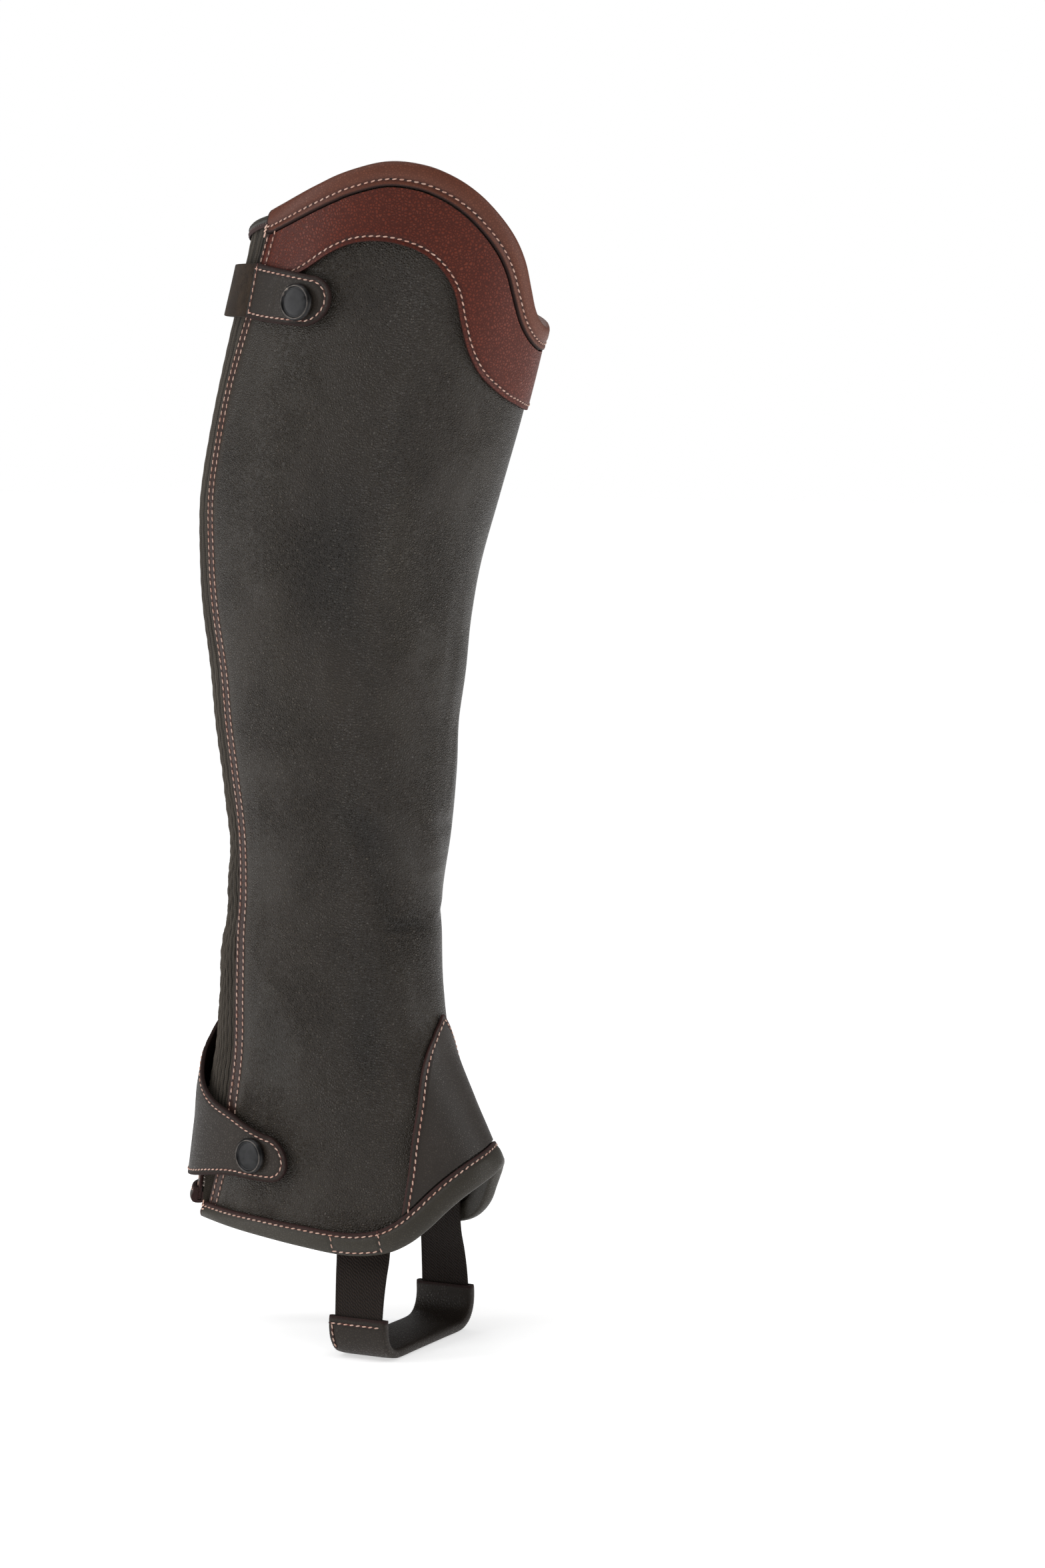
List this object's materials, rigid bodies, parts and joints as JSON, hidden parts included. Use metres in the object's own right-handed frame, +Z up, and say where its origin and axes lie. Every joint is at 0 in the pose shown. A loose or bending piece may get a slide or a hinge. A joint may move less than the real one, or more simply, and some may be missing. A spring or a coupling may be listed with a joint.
{
  "type": "half chap",
  "caption": "Leather half chap for the right leg with an arched top, stretch gusset, back zip, snap tabs and a strap under the boot.",
  "frame": {"origin": "on the leg's axis at the ankle, 110 mm above the ground that the boot's sole stands on", "axes": "+Z up the leg, -Y to the front, -X to the outer side of the right leg"},
  "size_m": [0.1227, 0.1696, 0.5004],
  "materials": {
    "dark_leather": "grained, semi-matt",
    "chestnut_leather": "grained, semi-matt",
    "suede": "suede",
    "stretch": "ribbed",
    "webbing": "woven elastic",
    "zip_tape": "woven",
    "metal": "black, satin",
    "thread": "waxed sewing thread"
  },
  "bodies": {
    "chap": {"leg_panel": "dark_leather", "stretch_panel": "stretch", "top_band": "chestnut_leather", "top_facing": "suede", "top_binding": "chestnut_leather", "stretch_binding": "dark_leather", "front_patch": "dark_leather", "bottom_binding": "dark_leather", "zip_tape_outer": "zip_tape", "zip_tape_inner": "zip_tape", "zip_slider": "metal", "upper_tab_elastic": "webbing", "upper_tab": "dark_leather", "lower_tab": "dark_leather", "upper_snap_cap": "metal", "upper_snap_stud": "metal", "lower_snap_cap": "metal", "lower_snap_stud": "metal", "strap_webbing": "webbing", "sole_sleeve": "dark_leather"},
    "zip_pull": {"zip_pull": "metal"}
  },
  "joints": [
    {"name": "pull_swing", "type": "hinge", "parent": "chap", "child": "zip_pull", "pos_m": [0.00423, 0.04736, 0.32224], "axis": [0.9965, -0.0832, 0], "range_deg": [0, 135]}
  ]
}
